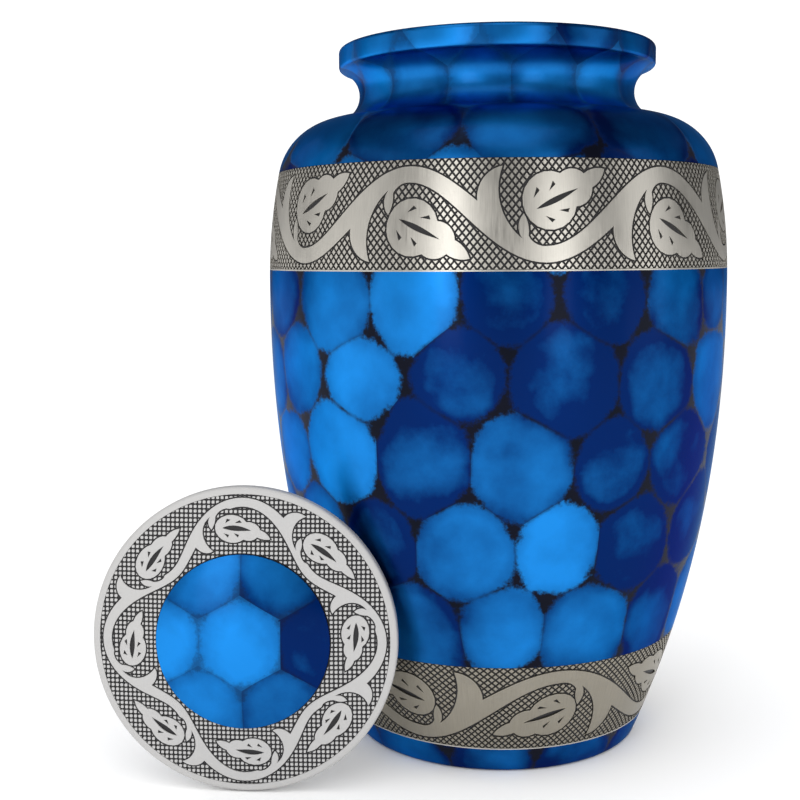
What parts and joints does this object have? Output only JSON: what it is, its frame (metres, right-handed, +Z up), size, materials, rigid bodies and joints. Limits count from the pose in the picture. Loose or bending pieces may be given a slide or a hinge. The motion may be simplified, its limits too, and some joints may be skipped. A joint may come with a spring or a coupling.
{
  "type": "funeral urn",
  "caption": "Round metal funeral urn with a flanged neck, engraved leaf-scroll bands and a round engraved lid standing against it.",
  "frame": {"origin": "middle of the flat underside, on the urn's axis", "axes": "+Z up along the urn's axis, -Y towards the front, where the lid leans to the left"},
  "size_m": [0.2052, 0.158, 0.2376],
  "materials": {
    "blue_lacquer": "clear lacquer over aluminium, blue stone pattern",
    "engraved_metal": "bare satin metal, engraved, ground filled black"
  },
  "bodies": {
    "root": {"urn_body": "blue_lacquer", "lid": "engraved_metal"}
  },
  "joints": []
}
